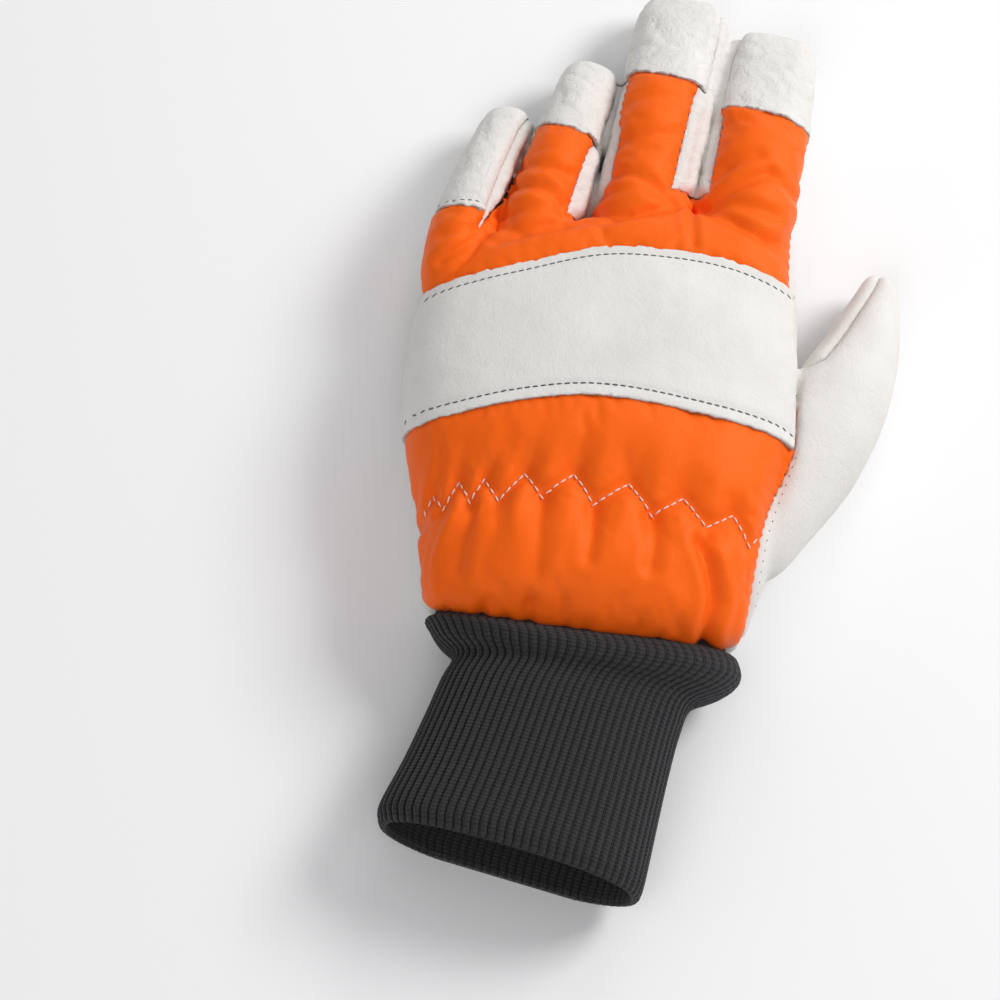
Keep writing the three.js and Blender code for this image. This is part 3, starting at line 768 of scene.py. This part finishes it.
# line, depth and width, all in millimetres
FOLDS = [([Vector(p) * MM for p in line], depth * MM, width * MM) for line, depth, width in (
    (((-15, 106), (-4, 105), (7, 100)), 1.1, 1.9), (((-13, 99), (-2, 101), (9, 98)), 0.8, 1.6),
    (((-14, 115), (-5, 118), (6, 121)), 0.7, 2.0), (((-13, 128), (-4, 132), (5, 133)), 0.5, 1.8),
    (((17, 100), (25, 106), (35, 113)), 1.2, 1.9), (((16, 98), (26, 101), (38, 100)), 1.1, 1.9),
    (((18, 109), (24, 115), (31, 118)), 0.8, 1.7), (((36, 112), (44, 109)), 0.7, 1.6),
    (((18, 128), (29, 132), (41, 130)), 0.4, 2.0), (((14, 95), (15, 90), (16, 84)), 0.8, 1.3),
    (((-39, 97), (-31, 96), (-23, 92)), 1.1, 1.8), (((-38, 104), (-31, 103), (-24, 102)), 0.7, 1.8),
    (((-16, 87), (-23, 84), (-32, 80), (-41, 76)), 0.8, 1.6), (((8, 97), (-1, 92), (-13, 87)), 0.9, 1.5),
    (((-57, 76), (-52, 78), (-46, 80)), 0.8, 1.5), (((-45, 79), (-51, 72), (-56, 68)), 1.1, 1.6),
    (((17, 98), (28, 94), (40, 90)), 0.7, 1.8), (((-20, 90), (-30, 90), (-38, 87)), 0.8, 1.6),
    (((32, -8), (36, -15), (39, -23), (38, -36)), 2.0, 1.9), (((-26, -42), (-26, -36)), 0.9, 1.4),
    (((-12, -42), (-13, -34)), 0.8, 1.5), (((3, -42), (4, -37)), 0.5, 1.6),
    (((-46, -13), (-47, -24), (-45, -33)), 1.0, 2.2),
    (((-33, -9), (-35, -17), (-35, -27)), 0.8, 2.2), (((-15, -4), (-14, -14), (-13, -26)), 0.6, 2.4),
    (((0, -5), (1, -14), (1, -20)), 0.8, 1.8), (((17, -4), (19, -11), (19, -19)), 0.9, 2.0))]


def gathers(point):
    """Folds that run up and down from the zigzag's points and die out away from it."""
    off = point.y - y_on(ZIGZAG_MIDDLE, point.x)
    drift = 0.35 * off * noise.noise(point / (13 * MM))
    fold = (y_on(ZIGZAG, point.x + drift) - y_on(ZIGZAG_MIDDLE, point.x + drift)) / (4 * MM)
    reach = (11 if off > 0 else 15) * MM
    return -math.copysign(1.1 * MM, off) * fold * min(abs(off) / (3 * MM), 1) * math.exp(-abs(off) / reach)


def folds(point, normal):
    """What the cloth's own swelling leaves out: the gathers, the creases at the crotches and the puckers
    that each stitch pulls into the edge."""
    border = back_border.find(point)[2]
    creases = [0.0]
    for line, depth, width in FOLDS:
        if (point.xy - line[0]).length < FOLD_LENGTH:
            apart = gap_to(line, point) / width
            creases.append(depth * (0.35 * near(apart - 2.2, 1) - 1.5 * math.exp(-apart ** 1.4)))
    height = gathers(point) + max(sum(creases), 1.2 * min(creases))
    pucker = 0.3 * MM * math.sin((point.x + point.y) / MM * 1.9) * near(border, 2.4 * MM)
    return height * (1 - near(border, 2 * MM)) + pucker


def ease_pinches(bm, sharpest=0.8, times=5):
    """Smooth only the points where folds meet and the surface would cut into itself."""
    for _ in range(times):
        soften(bm, [v for v in bm.verts if not v.is_boundary
                    and any(e.calc_face_angle(0) > sharpest for e in v.link_edges)])
    bm.normal_update()


back = cut_panel([prism(back_outline(UNDER_CAP), SEAM_HEIGHT)])
back_border = edge_tree(back)
edge = turned_in(back, 2.2 * MM, 2.6 * MM, lambda point: not under_cap(point))


def fabric_height(point, normal):
    """Padding all over, none under the tips and the strap, and a groove along the zigzag."""
    groove = near(gap_to(ZIGZAG, point), 2.2 * MM)
    padding = 0.2 * MM if under_cap(point) or under_strap(point, 0.5 * MM) else 1.1 * MM
    inland = 1 - near(back_border.find(point)[2], 4 * MM)
    sunk = edge(point) * (0.45 if under_cap(point, 3 * MM) else 1)
    return padding + sunk - 1.6 * MM * groove * inland + 0.4 * MM * swell(point, 14 * MM)


push(back, fabric_height)
back_border = edge_tree(back)
back = swell_fabric(back, fabric_hold(back_border), shrink=-0.02, pressure=4.0, frames=24)
push(back, folds)
ease_pinches(back)
back_surface = surface_of(back)
back_panel = finish_panel(back, "back_panel", orange_fabric, 1.2 * MM)

zigzag_stitches = bmesh.new()
sew(zigzag_stitches, ZIGZAG, back_surface, 2.5 * MM, 2.5 * MM, 0.55 * MM, sink=-0.3 * MM)
finish_thread(zigzag_stitches, "zigzag_stitches", pale_thread)

# Knuckle strap. A strip of the leather with raw edges, stitched over the fabric across the knuckles and
# caught at both ends in the side seams; its face is plain.
STRAP_RISE = 2.1 * MM
fabric_side = prism([*FABRIC_EDGE, Vector((-HAND_WIDTH, HAND_LENGTH)),
                     Vector((-HAND_WIDTH, -HAND_LENGTH))], 0)
strap = cut_panel([prism(STRAP_TOP + STRAP_BOTTOM[::-1], SEAM_HEIGHT), fabric_side])
strap_rows = [strap_edge(1, 2.2 * MM), strap_edge(-1, 3.6 * MM)]


def raw_gap(point):
    """The distance to the strap's raw edges."""
    return min(gap_to(STRAP_TOP, point), gap_to(STRAP_BOTTOM, point))


edge = turned_in(strap, 1.5 * MM, 2 * MM, lambda point: raw_gap(point) >= 0.8 * MM)


def strap_height(point, normal):
    stitched = max(near(gap_to(row, point), 0.9 * MM) for row in strap_rows)
    curl = max(0, 1 - raw_gap(point) / (2 * MM))
    return (STRAP_RISE + edge(point) - 0.45 * MM * stitched + 0.3 * MM * curl * swell(point, 6 * MM, 3)
            + 0.45 * MM * swell(point, 22 * MM, 5) + 0.12 * MM * swell(point, 6 * MM, 9))


push(strap, strap_height)
strap_surface = surface_of(strap)
finish_panel(strap, "knuckle_strap", white_leather, 1.5 * MM, cut_edge)
strap_stitches = bmesh.new()
for row in strap_rows:
    sew(strap_stitches, row, strap_surface, 2.3 * MM, 2.1 * MM, 0.6 * MM)
finish_thread(strap_stitches, "strap_stitches", grey_thread)

# Leather fingertips. White grain leather folded over each tip, its raw lower edge lapped over the fabric
# strip; the little finger's shows its row of stitches.
TIP_RISE, TIP_LAP, TIP_ROW = 0.8 * MM, 0.5 * MM, 1.8 * MM
tip_stitches = bmesh.new()
for finger in FINGERS:
    tip = cut_panel([prism(cap_outline(finger), 0.75 * FINGER_SEAM)])
    edge = turned_in(tip, 1.3 * MM, 1.5 * MM, lambda point, f=finger: past_cap_edge(f, point) > 1.6 * MM
                     or f.across(point) > f.strip[1] + 0.12 or f.across(point) < max(f.strip[0], -1) - 0.02)

    def tip_height(point, normal, f=finger, sewn=edge):
        lap = past_cap_edge(f, point)
        stitched = near(lap - TIP_ROW, 0.8 * MM) if f.name == "little" else 0
        past_strip = max(f.across(point) - f.strip[1], max(f.strip[0], -1) - f.across(point))
        off_strip = min(max((past_strip + 0.1) / 0.2, 0), 1)
        raised = TIP_RISE + TIP_LAP * (1 - off_strip) * near(lap, 5 * MM)
        puckers = 0.4 * MM * wrinkles(point, 11 * MM, (1, 1.6, 1), f.length * 90)
        puckers += 0.2 * MM * wrinkles(point, 6 * MM, (1.4, 1, 1), f.length * 70)
        return sewn(point) + raised - 0.4 * MM * stitched + puckers + 0.4 * MM * swell(point, 8 * MM, 2)

    push(tip, tip_height)
    if finger.name == "little":
        first, last = finger.cap
        row = [finger.at(finger.cap_at + finger.rise * (step / 8) + TIP_ROW / finger.length,
                         0.8 * (first + (last - first) * step / 8)) for step in range(9)]
        sew(tip_stitches, row, surface_of(tip), 2.2 * MM, 1.6 * MM, 0.42 * MM)
    finish_panel(tip, f"{finger.name}_tip", white_leather, 1.3 * MM, cut_edge, 0.35)
finish_thread(tip_stitches, "tip_stitches", grey_thread)

# Side walls of the fingers. Strips of the same leather between the fabric backs and the palm, round the
# crotch from one finger to the next, pressed out until those of neighbours nearly meet.
TOP_PRISMS = [prism(back_outline(), SEAM_HEIGHT)]
TOP_PRISMS += [prism(cap_outline(finger), 0.75 * FINGER_SEAM) for finger in FINGERS]
THUMB_BACK_SEAM = smooth_line([on_hand(*p) for p in (
    (0.527, 0.723), (0.563, 0.781), (0.598, 0.847), (0.625, 0.898), (0.643, 0.942), (0.655, 1.0))])
THUMB_PALM_SEAM = smooth_line([on_hand(*p) for p in (
    (0.2, -0.1), (0.2, 0.05), (0.235, 0.25), (0.3, 0.4), (0.4, 0.56), (0.455, 0.66), (0.48, 0.752),
    (0.52, 0.825), (0.55, 0.876), (0.58, 0.927), (0.61, 0.97), (0.62, 1.1))])
THUMB_SEAM_HEIGHT = 0.34 * THUMB_DEPTH
REACH = 14 * MM
thumb_back_outline = [p for p in FABRIC_EDGE if p.y < THUMB_BACK_SEAM[0].y] + THUMB_BACK_SEAM + [
    on_hand(0.7, 1.12), on_hand(1, 1), on_hand(1, -0.15)]
thumb_palm_outline = THUMB_PALM_SEAM + [on_hand(1, 1.15), on_hand(1, -0.15)]
thumb_back_prism = prism(thumb_back_outline, THUMB_SEAM_HEIGHT)
thumb_palm_prism = prism(thumb_palm_outline, BELOW)


def side_wall_outline(first, second):
    return [first.at(1.3, 0.05), first.at(0.3, 0.05), first.at(-0.12, 0.4),
            second.at(-0.12, -0.4), second.at(0.3, -0.05), second.at(1.3, -0.05)]


skin = bmesh.new()
skin.from_mesh(last_mesh)
skin_surface = surface_of(skin)


def pressed_out(bm, most):
    """How far each point swells towards the finger that faces it across a gap."""
    border = edge_tree(bm)

    def height(point, normal):
        room = skin_surface.ray_cast(point + normal * 0.4 * MM, normal, REACH)[3]
        if room is None:
            return 0.0
        inland = 1 - near(border.find(point)[2], 2.5 * MM)
        return min(max(room / 2 - 0.1 * MM, 0) * (1 - room / REACH), most) * inland
    return height


wall_prisms = []
for first, second in zip(FINGERS, FINGERS[1:]):
    name = f"{first.name}_{second.name}_wall"
    wall_prisms.append(prism(side_wall_outline(first, second), 0.6 * FINGER_SEAM))
    wall = cut_panel([wall_prisms[-1]], TOP_PRISMS)
    edge = turned_in(wall, 1.1 * MM, 1.3 * MM)
    push(wall, pressed_out(wall, 2.2 * MM))
    free = [v for v in wall.verts if not v.is_boundary]
    for _ in range(4):
        soften(wall, free)
    wall.normal_update()
    push(wall, lambda point, normal: edge(point) + 0.35 * MM * wrinkles(point, 6 * MM, (0.4, 1.7, 0.4), 3))
    finish_panel(wall, name, white_leather, creased=0.3)

# Thumb. A back that runs down beside the fabric to the cuff, and a front over the ball of the hand; their
# seam shows along the thumb's inner side, and dark stitch holes run beside the fabric's edge.
thumb_back = cut_panel([thumb_back_prism], TOP_PRISMS)
edge = turned_in(thumb_back, 1.7 * MM, 1.5 * MM)
push(thumb_back, lambda point, normal: edge(point) + 0.5 * MM * swell(point, 13 * MM, 4))
seam_stitches = bmesh.new()
sew(seam_stitches, [p for p in beside(FABRIC_EDGE, -1.1 * MM) if HEM + 4 * MM < p.y < STRAP_BOTTOM[-1].y],
    surface_of(thumb_back), 3 * MM, 0.6 * MM, 0.4 * MM)
finish_panel(thumb_back, "thumb_back", white_leather, creased=0.12)
finish_thread(seam_stitches, "seam_stitches", grey_thread)
thumb_front = cut_panel([thumb_palm_prism], TOP_PRISMS + [thumb_back_prism])
edge = turned_in(thumb_front, 1.7 * MM, 1.5 * MM)
push(thumb_front, lambda point, normal: edge(point) + 0.5 * MM * swell(point, 13 * MM, 4))
finish_panel(thumb_front, "thumb_front", white_leather, creased=0.12)

# Palm. One piece of leather under the hand and the fronts of the fingers, turned up at both sides, with
# creases where the fingers and the hand bend.
palm = cut_panel([], TOP_PRISMS + wall_prisms + [thumb_back_prism, thumb_palm_prism])
edge = turned_in(palm, 1.2 * MM, 1.5 * MM)
CREASE_DEPTH = 0.9 * MM
# x and y in millimetres
PALM_CREASES = [[Vector(p) * MM for p in line] for line in (
    ((-60, 70), (-45, 74), (-38, 80)), ((-42, 84), (-30, 88), (-17, 90)), ((-16, 96), (0, 98), (14, 97)),
    ((14, 100), (30, 100), (46, 98)), ((-40, 104), (-26, 106)), ((-13, 124), (6, 124)),
    ((17, 128), (42, 126)), ((38, 60), (20, 66), (-5, 64), (-30, 54)),
    ((46, 78), (30, 82), (5, 80), (-20, 72)))]


def palm_height(point, normal):
    crease = max(near(gap_to(line, point), 1.2 * MM) for line in PALM_CREASES)
    creased = CREASE_DEPTH * crease if normal.z < -0.3 else 0
    return edge(point) + 0.5 * MM * swell(point, 15 * MM, 6) - creased


push(palm, palm_height)
finish_panel(palm, "palm", white_leather, creased=0.15)

# Palm strap. A reinforcement strip of the same leather across the palm below the fingers, held by three
# double rows of stitches.
PALM_STRAP_WIDTH = 30 * MM
PALM_STRAP_LINE = smooth_line([on_hand(*p) for p in (
    (-0.62, 0.56), (-0.3, 0.64), (0.0, 0.72), (0.24, 0.77))])
palm_strap_outline = (beside(PALM_STRAP_LINE, PALM_STRAP_WIDTH / 2)
                      + beside(PALM_STRAP_LINE, -PALM_STRAP_WIDTH / 2)[::-1])
palm_rows = [beside(PALM_STRAP_LINE, share * PALM_STRAP_WIDTH + pair)
             for share in (-0.43, 0.0, 0.43) for pair in (-1.1 * MM, 1.1 * MM)]
palm_strap = cut_panel([prism(palm_strap_outline, BELOW, 0.3 * SEAM_HEIGHT)])


def palm_strap_height(point, normal):
    stitched = max(near(gap_to(row, point), 0.8 * MM) for row in palm_rows)
    return 1.5 * MM - 0.35 * MM * stitched


push(palm_strap, palm_strap_height)
palm_strap_surface = surface_of(palm_strap)
finish_panel(palm_strap, "palm_strap", white_leather, 1.4 * MM, cut_edge)
palm_stitches = bmesh.new()
for row in palm_rows:
    sew(palm_stitches, row, palm_strap_surface, 3.2 * MM, 1.1 * MM, 0.6 * MM, side=-1)
finish_thread(palm_stitches, "palm_stitches", grey_thread)


# Rib-knit cuff. A black knitted tube sewn inside the hem, which rolls out below it and runs down in ribs
# to its folded end; the same knit, with finer ribs, shows inside the opening.
def make_knit():
    knit = Shader("black_knit", (0.016, 0.016, 0.018), 0.95, {
        "Specular IOR Level": 0.2, "Sheen Weight": 0.22, "Sheen Roughness": 0.5,
        "Sheen Tint": (0.5, 0.5, 0.52, 1)})
    across_rib = knit.math("ABSOLUTE", knit.attribute("phase"))
    rows = knit.math("MULTIPLY", knit.attribute("run"), 2 * math.pi / LOOP_PITCH)
    loops = knit.math("SINE", knit.math("ADD", rows, knit.math("MULTIPLY", across_rib, 2.6)))
    groove = knit.math("POWER", across_rib, 4)
    fuzz = knit.noise(2200, 5)
    knit.bump(knit.math("SUBTRACT", knit.math("MULTIPLY", loops, 0.2), knit.math("MULTIPLY", groove, 0.6)),
              0.8, 0.0005)
    knit.bump(fuzz, 0.6, 0.0003)
    # The knit's colour holds painted shade and painted light: darker in the rib grooves where shade falls
    # and lighter along the loops' crests, over a random fibre tone from the fuzz noise.
    painted_light_and_fibre = knit.math("ADD", knit.math("MULTIPLY", loops, 0.09), fuzz)
    painted_light_and_fibre = knit.math("SUBTRACT", painted_light_and_fibre, knit.math("MULTIPLY", groove, 0.9))
    mix = knit.nodes.new("ShaderNodeMix")
    mix.data_type = "RGBA"
    knit.fill(mix, {"Factor": painted_light_and_fibre, "A": (0.004, 0.004, 0.005, 1), "B": (0.06, 0.06, 0.062, 1)})
    knit.fill(knit.surface, {"Base Color": mix.outputs["Result"]})
    return knit.material


CUFF_LENGTH, CUFF_WIDTH, CUFF_DEPTH = 66 * MM, 67 * MM, 36 * MM
KNIT = 2.4 * MM
RIBS, RIB_POINTS = 76, 8
RIB_RELIEF = 0.9 * MM
LOOP_PITCH = 1.1 * MM
CUFF_ROUNDNESS = 2.3
# along, left, right, top, ribs, slant, bow in millimetres
CUFF_SECTIONS = [Vector(row) for row in (
    (-0.1, -0.58, 0.66, 0.84, 0.1, 0.04, 3.5), (-0.02, -0.59, 0.68, 0.9, 0.1, 0.04, 3.5),
    (0.012, -0.62, 0.725, 0.97, 0.35, 0.04, 3.5), (0.06, -0.6, 0.75, 1.03, 0.5, 0, 3),
    (0.115, -0.55, 0.69, 1.0, 0.7, -0.01, 2.5), (0.165, -0.47, 0.56, 0.93, 1, -0.03, 1.5),
    (0.27, -0.5, 0.525, 0.95, 1, -0.055, 0.5), (0.45, -0.54, 0.505, 0.97, 1, -0.08, 0),
    (0.7, -0.6, 0.49, 0.985, 1, -0.1, 0), (0.93, -0.665, 0.478, 1.0, 1, -0.12, 0),
    (1.0, -0.66, 0.47, 0.96, 0.8, -0.12, 0))]


def oval_steps(half, high, count):
    """Points at even steps of length round an oval cut flat on the floor, from its right-hand side."""
    fine = []
    for i in range(count * 8 + 1):
        turn = i / (count * 8) * 2 * math.pi
        c, s = math.cos(turn), math.sin(turn)
        fine.append(Vector((math.copysign(abs(c) ** (2 / CUFF_ROUNDNESS), c) * half,
                            math.copysign(abs(s) ** (2 / CUFF_ROUNDNESS), s) * high)))
    reach = [0.0]
    for a, b in zip(fine, fine[1:]):
        reach.append(reach[-1] + (b - a).length)
    k = 0
    for i in range(count):
        while reach[k + 1] < reach[-1] * i / count:
            k += 1
        way = (fine[k + 1] - fine[k]).normalized()
        yield fine[k] + way * (reach[-1] * i / count - reach[k]), Vector((way.y, -way.x))


def lay_knit(bm, section, inward, relief, run):
    along, left, right_edge, top, ribs, slant, bow = section
    count = RIBS * RIB_POINTS
    low, high = -SETTLE, top * CUFF_DEPTH
    centre = Vector(((left + right_edge) / 2 * CUFF_WIDTH, HEM - along * CUFF_LENGTH))
    half, tall = (right_edge - left) / 2 * CUFF_WIDTH, (high - low) / 2
    spots = list(oval_steps(half, tall, count))
    made = bmesh.ops.create_circle(bm, segments=count, radius=1)["verts"]
    for v in made:
        i = round(math.atan2(v.co.y, v.co.x) / (2 * math.pi) * count) % count
        spot, outward = spots[i]
        across_rib = (i % RIB_POINTS) / RIB_POINTS * 2 - 1
        swell_out = ribs * relief * (1 - abs(across_rib) ** 2.5) - inward
        x, z = centre.x + spot.x + outward.x * swell_out, low + tall + spot.y + outward.y * swell_out
        resting = inward if inward > 0.5 * KNIT else ribs * 0.25 * relief * abs(across_rib)
        y = centre.y + x * slant + bow * MM * min(spot.x / half, 1) ** 2
        v.co = (x, y, max(z, resting))
        v[bm.verts.layers.float["phase"]] = across_rib
        v[bm.verts.layers.float["run"]] = run
    return edges_of(made)


def make_cuff():
    bm = bmesh.new()
    for layer in ("phase", "run"):
        bm.verts.layers.float.new(layer)
    outer = smooth_line(CUFF_SECTIONS, 4)
    rows = [(section, 0.0, RIB_RELIEF, section[0] * CUFF_LENGTH) for section in outer]
    end = CUFF_SECTIONS[-1]
    for turn in (0.25, 0.5, 0.75, 1.0):
        past = end.copy()
        past[0] += 0.02 * math.sin(turn * math.pi)
        rows.append((past, KNIT * 0.5 * (1 - math.cos(turn * math.pi)), RIB_RELIEF * 0.6,
                     (1 + 0.03 * turn) * CUFF_LENGTH))
    inside = [section for section in outer if section[0] > 0.17][::-1]
    rows += [(section, KNIT, RIB_RELIEF * 0.45, (2 - section[0]) * CUFF_LENGTH) for section in inside]
    rings = [lay_knit(bm, *row) for row in rows]
    for first, second in zip(rings, rings[1:]):
        bmesh.ops.bridge_loops(bm, edges=first + second)
    bmesh.ops.recalc_face_normals(bm, faces=bm.faces)
    cuff = make_piece(bm, "rib_cuff", make_knit())
    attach(cuff, "root")
    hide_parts("rib_cuff")


make_cuff()
